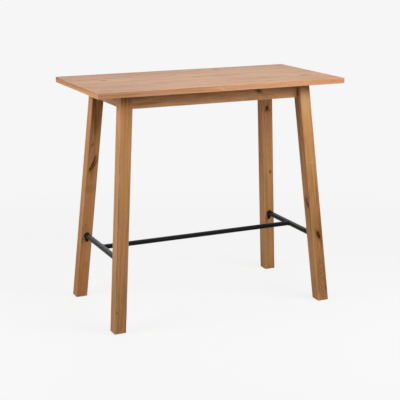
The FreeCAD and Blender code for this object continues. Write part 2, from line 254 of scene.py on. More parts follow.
# least distance from the knots, and masks of their own wood and of the darkened wood beside them
def knotMasks(finish, frayed, knots):
    near, core, halo = None, 0.0, 0.0
    for middle, reach, tilt, share in knots:
        away = awayFrom(finish, frayed, middle, reach, tilt)
        near = away if near is None else near.maths("MINIMUM", away)
        core = (away.step(*knotLook["coreStep"]) * share).maths("MAXIMUM", core)
        halo = (away.step(*knotLook["haloStep"]) * share).maths("MAXIMUM", halo)
    return near, core, halo


# Rings: place round a wandering pith, radius from it, which grows by swell / (1 + spread d^2) near a knot
# and by lift / (1 + d^2) near a swirl, and years of growth
def growthRings(finish, ringPlace, sample, frayed, near, look, piece):
    wander = (0.0, look["wander"], look["wander"])
    strayed = ringPlace + finish.noiseVector(sample, *timber["stray"]) * wander
    around = finish.turned(strayed, (0.0,) + piece["pith"], piece["turn"]) * (0.0, 1.0, 1.0)
    radius = around.length()
    if near is not None:
        radius = radius + knotLook["swell"] / (near * near * knotLook["spread"] + 1.0)
    for middle, reach, tilt, lift in piece.get("swirls", []):
        bend = awayFrom(finish, frayed, middle, reach, tilt)
        radius = radius + lift / (bend * bend + 1.0)
    years = radius / look["ringPitch"]
    uneven = finish.noise(finish.vector(radius, piece["seed"], 0.0), *timber["years"])
    return around, radius, years + uneven * timber["yearReach"]


# ray flecks: short marks that run outwards from the pith
def rayFlecks(finish, grain, around, radius):
    right, out = around.parts()[1:]
    along, turns, outwards = timber["rays"]
    place = finish.vector(grain.parts()[0] * along, right.maths("ARCTAN2", out) * turns, radius * outwards)
    return finish.noise(place, (1.0, 1.0, 1.0), 1.0).step(*timber["rayStep"])


# depth of tone with stains, which follow the streaks, and with nested V lines, their tips down
def stained(finish, depth, grain, sample, frayed, streak, piece):
    for middle, reach, tilt, share in piece.get("stains", []):
        spot = awayFrom(finish, frayed, middle, reach, tilt).step(*timber["patchStep"])
        depth = depth + spot * (streak * timber["patchStreaks"] + 1.0) * share
    for middle, reach, pitch, slope, share in piece.get("figures", []):
        along, across = (frayed - middle).parts()[:2]
        tips = (along - across.maths("ABSOLUTE") * slope) / pitch
        uneven = finish.noise(sample, *timber["figure"])
        lines = (tips + uneven).maths("FRACT").step(*timber["figureStep"])
        rim = awayFrom(finish, grain, middle, reach, 0.0).step(*timber["figureRim"])
        depth = depth + lines * rim * share
    return depth


# knots: ringed brown wood with a split black heart, a dark rim and darkened grain beside them
def knotted(finish, colour, sample, near, core, halo, split, look):
    size = knotLook
    colour = finish.mix(halo * size["haloShare"], colour, look["knotWood"])
    rings = (near * size["rings"]).maths("SINE") * size["ringDepth"] + size["ringMean"]
    lobe = finish.noise(sample, *size["lobe"]).step(*size["splitStep"])
    heart = near.step(*size["heartStep"]) * lobe.atLeast(size["heartLeast"])
    heart = heart + split * size["splitShare"] + near.step(*size["rimStep"]) * size["rimShare"]
    darkest = (rings * heart * size["gain"]).maths("MINIMUM", 1.0)
    return finish.mix(core, colour, finish.mix(darkest, look["knotWood"], look["knotHeart"]))


def woodFinish(name, grainOf, look, piece):
    finish = Finish(bpy.data.materials.new(name))
    grain, low, high = grainOf(finish)
    leaf, sample, ringPlace = leafPlaces(finish, grain, piece)
    frayed = grain + finish.noiseVector(sample, *timber["fray"]) * timber["frayReach"]
    near, core, halo = knotMasks(finish, frayed, piece.get("knots", []))
    around, radius, years = growthRings(finish, ringPlace, sample, frayed, near, look, piece)
    early = years.maths("FRACT").step(*timber["earlyStep"])
    year = finish.dice(years + piece["seed"] * timber["yearSeed"]) - 0.5

    # lengthwise streaks, broad clouds, hues, fine fibres and pores
    streakScale = (look["streakRuns"], look["streakWaves"], look["streakWaves"])
    streak = finish.noise(sample, streakScale, *timber["streak"]) - 0.5
    broad = finish.noise(sample + timber["broadAway"], *timber["broad"]) - 0.5
    hue = finish.noise(sample - timber["hueAway"], *timber["hue"])
    fibre = finish.noise(sample, *timber["fibre"]) - 0.5
    pores = finish.noise(sample + timber["poresAway"], *timber["pores"]).step(*timber["poreStep"])
    pores = pores * early.atLeast(timber["latePores"])

    depth = early * look["ringShare"] + look["depth"] + year * look["yearShare"]
    depth = depth + streak * look["streakShare"] + broad * look["broadShare"] + fibre * look["fibreShare"]
    depth = stained(finish, depth, grain, sample, frayed, streak, piece)
    if "joints" in piece:
        depth = depth + (finish.dice(leaf + piece["seed"]) - 0.5) * look["leafShare"]

    colour = finish.mix(depth, look["pale"], look["dark"])
    deeper = ((depth - 1.0) * timber["deepGain"]).maths("MAXIMUM", 0.0)
    colour = finish.mix(deeper, colour, look["deep"])
    for tone in ("rosy", "straw"):
        colour = finish.mix(hue.step(*timber[tone + "Step"]) * look[tone + "Share"], colour, look[tone])
    for middle, reach, tilt, factors in piece.get("tints", []):
        spot = awayFrom(finish, frayed, middle, reach, tilt).step(*timber["patchStep"])
        colour = finish.mix(spot, colour, factors, "MULTIPLY")
    rays = rayFlecks(finish, grain, around, radius)
    colour = finish.mix(rays * look["fleckShare"], colour, look["fleck"])
    colour = finish.mix(pores * look["poreShare"], colour, look["pore"])
    rough = pores * timber["poreRough"] + look["roughness"] + streak * timber["streakRough"]
    height = fibre * timber["fibreRise"] - pores
    if near is not None:
        split = finish.noise(sample, *knotLook["split"]).step(*knotLook["splitStep"])
        colour = knotted(finish, colour, sample, near, core, halo, split, look)
        rough = rough + core * knotLook["rough"]
        height = height - core * split * knotLook["splitFall"]

    # arrises painted paler and smoother, more in some places than others: partly wear, partly a painted
    # highlight where the arris catches the light
    handled = finish.noise(sample, *timber["handled"]).step(*timber["handledStep"])
    rubbedAndHighlit = arrisDistance(grain, low, high).step(*timber["arrisStep"])
    rubbedAndHighlit = rubbedAndHighlit * handled.atLeast(timber["handledLeast"])
    colour = finish.mix(rubbedAndHighlit * look["wearAndHighlightShare"], colour, look["wearAndHighlight"])
    rough = rough - rubbedAndHighlit * timber["arrisRough"]
    return finish.surface(colour, rough, (height, look["poreDepth"], timber["bump"]),
                          {"IOR": 1.5, "Specular IOR Level": look["gloss"]})


# middle and half sizes of a box
def middleOf(box):
    low, high = [np.array(corner) for corner in box]
    return (low + high) / 2, (high - low) / 2


# Grain directions for a piece that lies level: its axes in the order along, across and through
def levelGrain(order, name):
    middle, reach = middleOf(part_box(name))
    halfSizes = tuple(float(reach[axis]) for axis in order)

    def grainOf(finish):
        parts = (finish.place() - tuple(middle)).parts()
        return finish.vector(*[parts[axis] for axis in order]), tuple(-size for size in halfSizes), halfSizes
    return grainOf


# Grain of a leg: height, and the distance from its leaning middle line to the right and to the back
def legGrain(foot, head, half):
    lean = (head - foot) / (head[2] - foot[2])

    def grainOf(finish):
        x, y, z = finish.place().parts()
        up = z - foot[2]
        grain = finish.vector(z, x - foot[0] - up * lean[0], y - foot[1] - up * lean[1])
        return grain, (float(foot[2]), -half, -half), (float(head[2]), half, half)
    return grainOf


def paint(name, material):
    nodes[name].material_slots[0].material = material


def pointsOf(name):
    mesh = nodes[name].data
    points = np.empty(len(mesh.vertices) * 3)
    mesh.vertices.foreach_get("co", points)
    return points.reshape(-1, 3)


# middle of the lowest and of the highest level outline of a leg, and half the width of the highest
def endsOf(name):
    points = pointsOf(name)
    slack, ends = 0.00001, []
    for height in (points[:, 2].min(), points[:, 2].max()):
        ring = points[abs(points[:, 2] - height) < slack]
        ends.append((ring.min(0) + ring.max(0)) / 2)
    return ends + [float(np.ptp(ring[:, 0])) / 2]


# Legs: knots and swirls are a middle (height, right and back of the leg's middle line), half sizes, a tilt
# and a share from 0 to 1 or a lift in metres. Stains are soft patches that darken by a share, or lighten
# where it is negative. Tints are soft patches that multiply the colour. Figures are nested V lines:
# middle, half sizes, pitch, slope of their arms and share.
half = endsOf("leg_front_left")[2]
legPatch = {"wide": 0.06, "frontDeep": 0.03, "leftDeep": 0.014}


# patches over the whole width of a leg's front or left face: height, half height and share or factors
def onFront(height, reach, share):
    return (height, 0.0, -half), (reach, legPatch["wide"], legPatch["frontDeep"]), 0.0, share


def onLeft(height, reach, share):
    return (height, -half, 0.0), (reach, legPatch["leftDeep"], legPatch["wide"]), 0.0, share


legs = {
    "front_left": {
        "pith": (0.06, 0.052), "turn": (0.0, 0.01, 0.004), "seed": 1.0,
        "knots": [
            ((0.096, -0.018, -half), (0.004, 0.004, 0.01), 0.0, 0.35),
            ((0.61, half, 0.004), (0.013, 0.012, 0.007), 0.0, 0.9),
        ],
        "stains": [
            ((0.88, -0.001, -half), (0.13, 0.004, 0.03), 0.0, 0.35),
            onFront(0.74, 0.36, -0.26), onLeft(0.92, 0.13, -0.25),
            ((0.1, 0.0, 0.0), (0.3, 0.06, 0.06), 0.0, 0.12),
            ((0.15, -half, 0.0), (0.35, 0.014, 0.04), 0.0, 0.15),
            # the two patches on the next line are painted shade under the tabletop, at the head of the leg
            onLeft(1.01, 0.07, 0.6), onFront(1.02, 0.06, 0.35),
        ],
        "tints": [onLeft(0.6, 0.6, (0.93, 1.01, 1.11))],
    },
    "front_right": {
        "pith": (-0.012, 0.048), "turn": (0.0, -0.008, 0.015), "seed": 2.4,
        "knots": [
            ((0.32, 0.0047, -half), (0.019, 0.0085, 0.016), 0.3, 1.0),
            ((0.473, -half, -0.004), (0.018, 0.016, 0.01), 0.0, 0.5),
            ((0.484, -half, 0.005), (0.008, 0.01, 0.0045), 0.0, 0.8),
            ((0.471, -half, -0.003), (0.008, 0.01, 0.0045), 0.0, 0.8),
            ((0.459, -half, -0.01), (0.01, 0.01, 0.0055), 0.0, 1.0),
            ((0.061, 0.021, -half), (0.01, 0.005, 0.01), 0.0, 0.4),
            ((0.7, -0.006, half), (0.016, 0.008, 0.012), 0.2, 0.9),
            ((0.84, half, 0.008), (0.01, 0.01, 0.006), 0.0, 0.8),
        ],
        "swirls": [((0.27, -0.003, -half), (0.11, 0.014, 0.03), 0.0, 0.032)],
        "stains": [
            ((0.661, 0.0, -half), (0.006, 0.024, 0.008), 0.0, -0.5),
            ((0.596, -half, -0.007), (0.02, 0.01, 0.012), 0.0, 0.3),
            ((0.31, 0.01, -half), (0.04, 0.006, 0.012), 0.3, 0.6),
            # the last patch on the next line is painted shade under the tabletop, at the head of the left
            # face
            onFront(0.45, 0.3, 0.38), onLeft(0.82, 0.3, 0.3), onLeft(0.96, 0.1, 0.35),
            onLeft(0.45, 0.08, 0.15), onLeft(0.2, 0.15, -0.28), onFront(0.94, 0.11, -0.35),
            onFront(0.75, 0.1, 0.25), onFront(0.6, 0.18, 0.17), onFront(0.375, 0.09, 0.22),
            onFront(0.06, 0.17, 0.15),
        ],
        # the second tint on the next line is a painted shadow at the head of the left face, beside the apron
        "tints": [onFront(0.98, 0.12, (1.03, 1.1, 1.3)), onLeft(1.0, 0.05, (0.62, 0.56, 0.36))],
        "figures": [((0.105, 0.004, -half), (0.125, 0.03, 0.012), 0.03, 1.9, 0.55)],
    },
    "back_left": {
        "pith": (-0.085, 0.02), "turn": (0.0, 0.012, 0.0), "seed": 3.1,
        "look": {"streakShare": 1.0},
        "knots": [
            ((0.652, -0.002, -half), (0.0265, 0.0036, 0.01), -0.4, 0.95),
            ((0.648, 0.007, -half), (0.02, 0.003, 0.01), -0.44, 0.85),
            ((0.632, -0.01, -half), (0.008, 0.0045, 0.01), -0.4, 1.0),
            ((0.686, 0.008, -half), (0.008, 0.0028, 0.01), -0.25, 0.7),
            ((0.746, -0.009, -half), (0.009, 0.004, 0.01), -0.5, 0.45),
            ((0.3, half, -0.005), (0.013, 0.012, 0.008), 0.0, 0.9),
        ],
        "swirls": [((0.352, -0.012, -half), (0.026, 0.01, 0.012), 0.0, 0.01)],
        "stains": [
            # dark wood high on the front face, deepened with painted shade under the tabletop
            ((0.866, 0.002, -half), (0.11, 0.018, 0.024), 0.0, 1.0),
            ((0.6, -0.003, -half), (0.035, 0.006, 0.012), 0.0, 0.4),
            ((0.655, 0.003, -half), (0.05, 0.014, 0.012), -0.35, 0.7),
            onFront(0.536, 0.03, 0.35),
            ((0.341, -0.018, -half), (0.01, 0.005, 0.01), 0.0, 0.8),
            ((0.361, -0.009, -half), (0.008, 0.0045, 0.01), 0.0, 0.8),
            ((0.166, 0.006, -half), (0.02, 0.008, 0.01), 0.0, 0.4),
            ((0.15, -half, 0.0), (0.4, 0.014, 0.04), 0.0, 0.2),
            # on the next line the front patch is painted shade under the tabletop; the patch after it is dark
            # wood and painted shade
            onLeft(0.16, 0.13, 0.25), onFront(0.975, 0.09, 0.88),
            ((0.93, -0.015, -half), (0.11, 0.01, 0.03), 0.0, 0.6),
            onLeft(0.93, 0.1, -0.15),
        ],
        "tints": [
            onLeft(0.1, 0.32, (1.02, 0.97, 0.82)), onFront(0.41, 0.13, (1.02, 0.9, 0.88)),
            onFront(0.1, 0.2, (1.15, 1.06, 0.97)),
        ],
    },
    "back_right": {
        "pith": (-0.08, -0.03), "turn": (0.0, 0.006, 0.008), "seed": 4.7,
        "knots": [
            ((0.856, -0.0035, -half), (0.013, 0.0075, 0.014), -0.2, 0.9),
            ((0.843, -0.012, -half), (0.006, 0.0035, 0.01), -0.5, 0.6),
            ((0.846, 0.007, -half), (0.006, 0.003, 0.01), 0.5, 0.5),
            ((0.529, 0.009, -half), (0.006, 0.0045, 0.01), 0.0, 0.8),
            ((0.42, 0.004, half), (0.015, 0.008, 0.012), -0.2, 0.9),
        ],
        "stains": [
            ((0.848, 0.011, -half), (0.012, 0.01, 0.012), 0.0, 0.6),
            ((0.498, 0.006, -half), (0.005, 0.004, 0.008), 0.0, 0.7),
            onLeft(0.3, 0.33, -0.28), onFront(0.09, 0.18, -0.2),
        ],
        "tints": [onLeft(0.78, 0.26, (1.07, 1.04, 1.05))],
    },
}
for corner, leg in legs.items():
    foot, head = endsOf("leg_" + corner)[:2]
    look = dict(oak, **leg.get("look", {}))
    paint("leg_" + corner, woodFinish("oak leg " + corner, legGrain(foot, head, half), look, leg))
print("legs finished")


# Top: leaves of oak with their grain along X, lipped with solid oak. Places are taken from the middle of
# each piece: along, across and through its grain.
topLook = dict(oak, pale=(0.6, 0.314, 0.14), dark=(0.34, 0.152, 0.06), rosy=(0.57, 0.255, 0.13),
               straw=(0.55, 0.305, 0.13), fleck=(0.64, 0.355, 0.175), roughness=0.44, gloss=0.36,
               streakShare=2.5, streakWaves=46.0, streakRuns=2.4, ringShare=0.32, fibreShare=1.9,
               strawShare=0.3, leafShare=0.3)
bandLook = dict(oak, pale=(0.72, 0.374, 0.2), dark=(0.45, 0.2, 0.092), rosy=(0.68, 0.315, 0.178),
                straw=(0.64, 0.365, 0.17), ringPitch=0.004)
apronLook = dict(oak, pale=(0.73, 0.39, 0.19), dark=(0.385, 0.171, 0.066), rosy=(0.66, 0.305, 0.148),
                 straw=(0.61, 0.35, 0.142), streakShare=1.8, streakRuns=3.5, ringPitch=0.005,
                 ringShare=0.4, yearShare=0.6, depth=0.16)
topHalf = float(np.ptp(pointsOf("tabletop_panel")[:, 2])) / 2
topDeep = 0.02


# patch on the top: place, half sizes along and across, and share or factors
def onTop(x, y, along, across, share):
    return (x, y, topHalf), (along, across, topDeep), 0.0, share


tableTop = {
    "pith": (-0.235, -0.15), "turn": (0.0, 0.004, 0.01), "seed": 6.3,
    "joints": [-0.2, -0.08, 0.045, 0.16], "leafWidth": 0.122,
    "knots": [
        ((-0.433, 0.073, topHalf), (0.013, 0.007, 0.01), 0.0, 0.8),
        ((0.189, 0.222, topHalf), (0.012, 0.007, 0.01), 0.0, 0.8),
        ((0.47, -0.13, topHalf), (0.016, 0.009, 0.01), 0.2, 0.85),
    ],
    "swirls": [
        ((0.47, -0.13, topHalf), (0.026, 0.014, 0.01), 0.0, 0.006),
        ((0.185, 0.225, topHalf), (0.024, 0.01, 0.01), 0.0, 0.006),
    ],
    "stains": [
        onTop(-0.06, 0.045, 0.18, 0.009, 0.35), onTop(-0.145, -0.055, 0.02, 0.008, 0.4),
        onTop(0.183, -0.121, 0.07, 0.014, 0.5), onTop(-0.4, 0.04, 0.26, 0.11, -0.28),
        onTop(0.0, 0.25, 2.0, 0.09, 0.36), onTop(0.0, -0.13, 2.0, 0.028, 0.15),
    ],
    "tints": [
        onTop(-0.48, -0.18, 0.34, 0.12, (0.92, 0.85, 0.73)),
        onTop(-0.5, 0.02, 0.26, 0.2, (1.0, 0.95, 0.88)),
        onTop(0.33, 0.06, 0.26, 0.11, (0.98, 1.02, 0.94)),
        onTop(-0.24, -0.03, 0.18, 0.08, (1.08, 1.1, 1.09)),
        onTop(0.0, 0.1, 0.28, 0.08, (1.09, 1.1, 1.11)), onTop(0.48, 0.0, 0.5, 0.45, (1.0, 1.06, 1.2)),
    ],
}
paint("tabletop_panel", woodFinish("oak tabletop", levelGrain((0, 1, 2), "tabletop_panel"), topLook,
                                   tableTop))

# The front apron has a knot, pale spots near its lower edge and swirls left of its middle
apronFace, apronWide, apronDeep = -0.011, 0.06, 0.02
allOver = ((0.0, 0.0, 0.0), (2.0, 0.2, 0.1), 0.0)  # a patch that covers a whole piece


# patch over the whole height of an apron's outer face: place along it, half length and share
def onApron(x, reach, share):
    return (x, 0.0, apronFace), (reach, apronWide, apronDeep), 0.0, share


apronWood = {"pith": (0.012, 0.055), "turn": (0.0, 0.012, 0.02), "seed": 12.0}
aprons = {
    "front": {
        "knots": [((0.207, 0.008, apronFace), (0.011, 0.006, apronDeep), 0.4, 0.6)],
        "swirls": [
            ((-0.12, 0.004, apronFace), (0.045, 0.011, apronDeep), 0.0, 0.01),
            ((-0.035, -0.006, apronFace), (0.04, 0.009, apronDeep), 0.0, 0.01),
        ],
        "stains": [
            ((0.214, -0.024, apronFace), (0.009, 0.008, apronDeep), 0.0, -1.2),
            ((0.129, -0.027, apronFace), (0.008, 0.006, apronDeep), 0.0, -0.7),
            ((-0.151, -0.026, apronFace), (0.01, 0.006, apronDeep), 0.0, -0.6),
            ((-0.031, -0.026, apronFace), (0.01, 0.006, apronDeep), 0.0, -0.6),
            onApron(0.25, 0.26, -0.3), onApron(0.11, 0.09, -0.25), onApron(-0.22, 0.09, -0.22),
            onApron(0.0, 0.07, -0.3), onApron(0.33, 0.09, -0.3), onApron(0.11, 0.07, -0.15),
            ((-0.016, -0.013, apronFace), (0.022, 0.003, apronDeep), 0.0, 0.8),
        ],
    },
    # the left apron is painted darker all over and darkest along its upper edge: painted shade under the
    # tabletop's overhang
    "left": {
        "stains": [allOver + (0.5,), ((0.0, 0.03, 0.0), (2.0, 0.04, 0.1), 0.0, 0.3)],
        "tints": [allOver + ((0.72, 0.72, 0.76),)],
    },
}
bandWood = {"pith": (0.02, 0.05), "turn": (0.0, 0.0, 0.006), "seed": 8.0}
bands = {
    "front": {
        "stains": [
            ((-0.03, 0.0, 0.0), (0.03, 0.008, 0.01), 0.3, -0.4),
            ((-0.3, 0.0, 0.0), (0.2, 0.04, 0.01), 0.0, -0.18),
            ((0.03, 0.0, 0.0), (0.3, 0.04, 0.01), 0.0, -0.12),
            ((0.4, 0.0, 0.0), (0.3, 0.04, 0.01), 0.0, 0.2),
        ],
    },
    "left": {
        "stains": [
            ((0.24, 0.0, 0.0), (0.3, 0.04, 0.01), 0.0, 0.6),
            ((0.0, 0.0, 0.0), (0.6, 0.06, 0.01), 0.0, 0.34),
            ((-0.1, -0.008, 0.0), (0.3, 0.007, 0.01), 0.0, -0.25),
        ],
        "tints": [allOver + ((1.0, 0.98, 0.89),)],
    },
}
lengthwise, crosswise = (0, 2, 1), (1, 2, 0)  # axes along, across and through the grain
sides = {"front": lengthwise, "back": lengthwise, "left": crosswise, "right": crosswise}
for index, (side, order) in enumerate(sides.items()):
    for kind, look, wood, own in (("edge_band_", bandLook, bandWood, bands),
                                  ("apron_", apronLook, apronWood, aprons)):
        piece = dict(wood, seed=wood["seed"] + index, **own.get(side, {}))
        name = kind + side
        paint(name, woodFinish("oak " + name.replace("_", " "), levelGrain(order, name), look, piece))
print("top and aprons finished")


# New pieces are skins: rings of points, each closed round itself. With poles the ends close in fans of
# triangles, and without them the last ring joins the first. Faces are turned to point outwards.
def skinOf(rings, poles=None):
    index = np.arange(rings.shape[0] * rings.shape[1]).reshape(rings.shape[:2])
    after = np.roll(index, -1, axis=1)
    if poles is None:
        index, after = np.vstack([index, index[:1]]), np.vstack([after, after[:1]])
    quads = np.stack([index[:-1], after[:-1], after[1:], index[1:]], axis=-1).reshape(-1, 4)
    points = rings.reshape(-1, 3)
    fans = np.empty((0, 3), int)
    if poles is not None:
        lower = np.stack([after[0], index[0], np.full(len(index[0]), len(points))], axis=-1)
        upper = np.stack([index[-1], after[-1], np.full(len(index[0]), len(points) + 1)], axis=-1)
        fans = np.vstack([lower, upper])
        points = np.vstack([points, poles])
    triangles = np.vstack([quads[:, [0, 1, 2]], quads[:, [0, 2, 3]], fans])
    corner = points[triangles]
    volume = np.einsum("ij,ij->i", corner[:, 0], np.cross(corner[:, 1], corner[:, 2])).sum()
    if volume < 0:
        quads, fans = quads[:, ::-1], fans[:, ::-1]
    return points, quads, fans


def turnsOf(count):
    return np.linspace(0, math.tau, count, endpoint=False)


# moves a skin drawn around the Z axis to a point, with its Z axis along a direction
def placed(skin, start, axis):
    points, quads, fans = skin
    steep = abs(axis[2]) > 0.9
    helper = (1.0, 0.0, 0.0) if steep else (0.0, 0.0, 1.0)
    right = np.cross(helper, axis)
    right /= np.linalg.norm(right)
    return points @ np.stack([right, np.cross(axis, right), axis]) + start, quads, fans


def added(name, data):
    made = bpy.data.objects.new(name, data)
    bpy.context.scene.collection.objects.link(made)
    return made


sharpAngle = math.radians(38.0)


# one object from several skins, smooth but for its sharp edges; it can stand for CAD nodes
def makePiece(name, skins, material, replaced=()):
    points, faces, start = [], [], 0
    for skin in skins:
        points.append(skin[0])
        faces += (skin[1] + start).tolist() + (skin[2] + start).tolist()
        start += len(skin[0])
    mesh = bpy.data.meshes.new(name)
    mesh.from_pydata(np.vstack(points), [], faces)
    mesh.shade_smooth()
    mesh.set_sharp_from_angle(angle=sharpAngle)
    mesh.materials.append(material)
    made = added(name, mesh)
    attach(made, "root")
    if replaced:
        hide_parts(*replaced)


# Weld beads: a round section carried along the closed line where two surfaces meet, its radius
# swelling and shrinking with each ripple of the torch
welds = {"radius": 0.0021, "ripple": 0.14, "ripplePitch": 0.0017, "steps": 420, "sides": 10}


def beadAlong(line):
    ahead = np.roll(line, -1, axis=0) - np.roll(line, 1, axis=0)
    ahead /= np.linalg.norm(ahead, axis=1, keepdims=True)
    outward = line - line.mean(axis=0)
    outward -= ahead * np.einsum("ij,ij->i", outward, ahead)[:, None]
    outward /= np.linalg.norm(outward, axis=1, keepdims=True)
    gaps = np.linalg.norm(line - np.roll(line, 1, axis=0), axis=1)
    ripples = round(gaps.sum() / welds["ripplePitch"])
    swell = abs(np.sin(np.cumsum(gaps) / gaps.sum() * ripples * math.pi))
    radius = welds["radius"] * (1 - welds["ripple"] * (1 - swell))
    turn = turnsOf(welds["sides"])[:, None]
    section = outward[:, None] * np.cos(turn) + np.cross(ahead, outward)[:, None] * np.sin(turn)
    return skinOf(line[:, None] + section * radius[:, None, None])


# line where the long tube meets a side tube: round the long tube, at the side tube's surface
def saddleLine(end):
    tube = middleOf(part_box("footrest_long_tube"))[1]
    middle, reach = middleOf(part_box("footrest_side_tube_" + end))
    turn = turnsOf(welds["steps"])
    across, up = tube[1] * np.cos(turn), tube[2] * np.sin(turn)
    inward = -np.sign(middle[0]) * np.sqrt(reach[0] ** 2 - up ** 2)
    return np.stack([middle[0] + inward, across, middle[2] + up], axis=-1)


# line where a side tube meets its end plate: round the tube, in the leaning plane where the tube ends
def plateLine(end, side):
    points = pointsOf("footrest_side_tube_" + end)
    rim = points[points[:, 1] * side > 0]
    slope, start = np.polyfit(rim[:, 2], rim[:, 1], 1)
    middle, reach = middleOf((points.min(0), points.max(0)))
    turn = turnsOf(welds["steps"])
    x = middle[0] + reach[0] * np.cos(turn)
    z = middle[2] + reach[2] * np.sin(turn)
    return np.stack([x, start + slope * z, z], axis=-1)


# Splits a group node into its solids. Points that share a place are one, and the lowest label of each
# triangle spreads over its corners until nothing changes.
def solidsOf(name):
    mesh = nodes[name].data
    points = pointsOf(name)
    corner = np.empty(len(mesh.loops), int)
    mesh.loops.foreach_get("vertex_index", corner)
    points, welded = np.unique(points.round(decimals=6), axis=0, return_inverse=True)
    triangles = welded.ravel()[corner].reshape(-1, 3)
    label = np.arange(len(points))
    settled = False
    while not settled:
        lower = label.copy()
        np.minimum.at(lower, triangles.ravel(), np.repeat(label[triangles].min(axis=1), 3))
        lower = lower[lower]
        settled = (lower == label).all()
        label = lower
    return [points[label == one] for one in np.unique(label)]


# start, direction and length of a long round solid; it starts at its thicker end
def axisOf(points):
    middle = points.mean(0)
    axis = np.linalg.svd(points - middle)[2][0]
    along = (points - middle) @ axis
    away = np.linalg.norm(points - middle - np.outer(along, axis), axis=1)
    centre = (along.min() + along.max()) / 2
    if away[along > centre].max() > away[along < centre].max():
        axis, along = -axis, -along
    return middle + axis * along.min(), axis, np.ptp(along)


# Outlines of a hexagon and of a cross recess, as a radius for each turn: F / cos(turn) within a sixth,
# and R (a + (1 - a) |cos(2 turn)|^n)
crossArms = {"power": 9, "least": 0.38}


def hexagon(turn, flat):
    return flat / np.cos((turn + math.pi / 6) % (math.pi / 3) - math.pi / 6)


def cross(turn, reach):
    least = crossArms["least"]
    return reach * (least + (1 - least) * abs(np.cos(turn * 2)) ** crossArms["power"])


# Screw, drawn down from its head: recess, domed head with height H (1 - (r/R)^n)^(1/n), then the shank.
# radii and heights have one row for each ring
def screwSkin(size, length):
    turn = turnsOf(size["sides"])
    hole = size["outline"](turn, size["recess"])
    head, tall, power = size["head"], size["headHeight"], size["dome"]
    overHead = hole + (head - hole) * np.array(size["ringShares"])[:, None]
    domed = tall * np.clip(1 - (overHead / head) ** power, 0, 1) ** (1 / power)
    floor = tall - size["recessDepth"]
    wall = floor + size["recessDepth"] * size["wallRise"]
    ones = np.ones_like(turn)
    radii = np.vstack([[hole * size["floorShare"], hole * size["wallShare"]], overHead,
                       [ones * size["shank"]] * 2])
    heights = np.vstack([[ones * floor, ones * wall], domed, [ones * 0, ones * (size["tip"] - length)]])
    rings = np.stack([radii * np.cos(turn), radii * np.sin(turn), -heights], axis=-1)
    return skinOf(rings, np.array([[0, 0, -floor], [0, 0, length]]))


woodScrew = {"head": 0.004, "headHeight": 0.0026, "dome": 2.6, "shank": 0.002, "tip": 0.003,
             "outline": cross, "recess": 0.0025, "recessDepth": 0.0016, "sides": 64,
             "floorShare": 0.45, "wallShare": 0.9, "wallRise": 0.25,
             "ringShares": (0.0, 0.12, 0.35, 0.6, 0.8, 0.93, 0.99, 1.0)}  # from the recess to the rim
footrestScrew = dict(woodScrew, head=0.0045, headHeight=0.003, shank=0.0025, recess=0.0015,
                     recessDepth=0.0017, outline=hexagon, sides=48)


def screwsOf(node, size):
    skins = []
    for solid in solidsOf(node):
        start, axis, length = axisOf(solid)
        seat = start + axis * size["headHeight"]
        skins.append(placed(screwSkin(size, length - size["headHeight"]), seat, axis))
    return skins


# Hanger bolt: a wood thread in the leg and a machine thread under the nut. The radius drops from the
# crest by the thread's depth times |2 f - 1|, where f is the fraction of height / pitch - turn.
hangerBolt = {"radius": 0.004, "woodShare": 0.45, "woodPitch": 0.0032, "woodDepth": 0.0011,
              "pitch": 0.00125, "depth": 0.0007, "ringsPerPitch": 6, "sides": 20, "tip": 0.0025,
              "tipShare": 0.2, "endShare": 0.8, "leastShare": 0.05}


def boltSkin(length):
    size = hangerBolt
    split = length * size["woodShare"]
    wood = np.arange(0, split, size["woodPitch"] / size["ringsPerPitch"])
    machine = np.arange(split, length, size["pitch"] / size["ringsPerPitch"])
    height = np.concatenate([wood, machine, [length]])[:, None]
    turn = turnsOf(size["sides"])
    pitch = np.where(height < split, size["woodPitch"], size["pitch"])
    depth = np.where(height < split, size["woodDepth"], size["depth"])
    fraction = (height / pitch - turn / math.tau) % 1.0
    radius = size["radius"] - depth * abs(2 * fraction - 1)
    ends = np.minimum(height / size["tip"] + size["tipShare"],
                      (length - height) / size["depth"] + size["endShare"])
    radius = radius * np.clip(ends, size["leastShare"], 1.0)
    rings = np.stack([radius * np.cos(turn), radius * np.sin(turn), height + 0 * turn], axis=-1)
    return skinOf(rings, np.array([[0, 0, 0], [0, 0, length]]))


# Nut: hexagon round a bore, cut by a cone at both ends: by slope times what a corner stands out past it
nut = {"flat": 0.0065, "bore": 0.0035, "cone": 0.0062, "slope": 0.577, "sides": 48}


def nutSkin(tall):
    turn = turnsOf(nut["sides"])
    ones = np.ones_like(turn)
    outside = hexagon(turn, nut["flat"])
    cut = (outside - nut["cone"]) * nut["slope"]
    bore, cone = ones * nut["bore"], ones * nut["cone"]
    radii = np.stack([bore, cone, outside, outside, cone, bore])
    heights = np.stack([ones * 0, ones * 0, cut, tall - cut, ones * tall, ones * tall])
    return skinOf(np.stack([radii * np.cos(turn), radii * np.sin(turn), heights], axis=-1))


# bolts start in the leg, and each nut sits on the nearest bolt's axis
def boltsAndNuts():
    bolts, nuts = [], []
    axes = [axisOf(solid) for solid in solidsOf("hanger_bolts")]
    for solid in solidsOf("bolt_nuts"):
        middle = solid.mean(0)
        offsets = [np.linalg.norm(np.cross(middle - start, axis)) for start, axis, length in axes]
        start, axis, length = axes[int(np.argmin(offsets))]
        along = (solid - start) @ axis
        nuts.append(placed(nutSkin(np.ptp(along)), start + axis * along.min(), axis))
        bolts.append(placed(boltSkin(length), start, axis))
    return bolts, nuts


